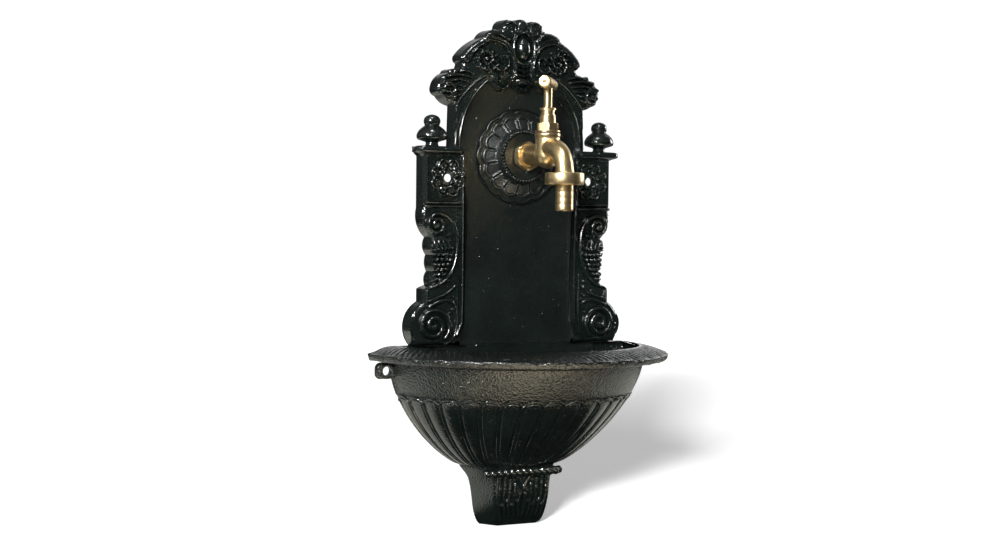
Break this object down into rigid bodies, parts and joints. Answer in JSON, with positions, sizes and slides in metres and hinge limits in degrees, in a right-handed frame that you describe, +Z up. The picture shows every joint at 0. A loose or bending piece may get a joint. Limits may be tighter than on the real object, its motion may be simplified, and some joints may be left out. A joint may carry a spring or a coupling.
{
  "type": "wall fountain",
  "caption": "Ornate cast iron wall fountain: carved back panel over a half-round fluted basin, with a brass bib tap that turns and a hose union.",
  "frame": {"origin": "midway between the two wall screw holes, on the wall plane", "axes": "+Z up, +Y into the wall, +X to the viewer's right"},
  "size_m": [0.3282, 0.1766, 0.5301],
  "materials": {
    "painted_iron": "glossy dark green-black paint over a rough casting",
    "brass": "satin polished",
    "zinc_steel": "zinc plated",
    "black_rubber": "matt",
    "red_fibre": "matt pressed fibre",
    "packing_yarn": "greased yarn"
  },
  "bodies": {
    "fountain": {"back_panel": "painted_iron", "basin": "painted_iron", "basin_bolts": "zinc_steel", "basin_bolt_washers": "zinc_steel", "basin_bolt_nuts": "zinc_steel", "drain_waste": "brass", "drain_gasket": "black_rubber", "drain_locknut": "brass", "tap_body": "brass", "tap_front_washer": "red_fibre", "tap_back_washer": "black_rubber", "tap_back_nut": "brass", "bonnet": "brass", "bonnet_gasket": "red_fibre", "gland_nut": "brass", "gland_packing": "packing_yarn"},
    "valve": {"valve_jumper": "brass", "valve_washer": "black_rubber", "valve_washer_nut": "brass"},
    "spindle": {"spindle": "brass", "tee_bar": "brass"},
    "hose_tail": {"hose_tail": "brass", "hose_washer": "black_rubber"},
    "union_nut": {"union_nut": "brass"}
  },
  "joints": [
    {"name": "valve_lift", "type": "slide", "parent": "fountain", "child": "valve", "axis": [0, 0, 1], "range_m": [0, 0.005]},
    {"name": "spindle_turn", "type": "hinge", "parent": "valve", "child": "spindle", "pos_m": [0, -0.078, 0.096], "axis": [0, 0, 1], "range_deg": [0, 725]},
    {"name": "hose_tail_drop", "type": "slide", "parent": "fountain", "child": "hose_tail", "axis": [0, 0, -1], "range_m": [0, 0.00544]},
    {"name": "union_turn", "type": "hinge", "parent": "hose_tail", "child": "union_nut", "pos_m": [0, -0.114, 0], "axis": [0, 0, -1], "range_deg": [0, 1086]}
  ],
  "couplings": [
    {"joint": "spindle_turn", "follows": "valve_lift", "rad_per_m": 2513.3},
    {"joint": "union_turn", "follows": "hose_tail_drop", "rad_per_m": 3464}
  ]
}
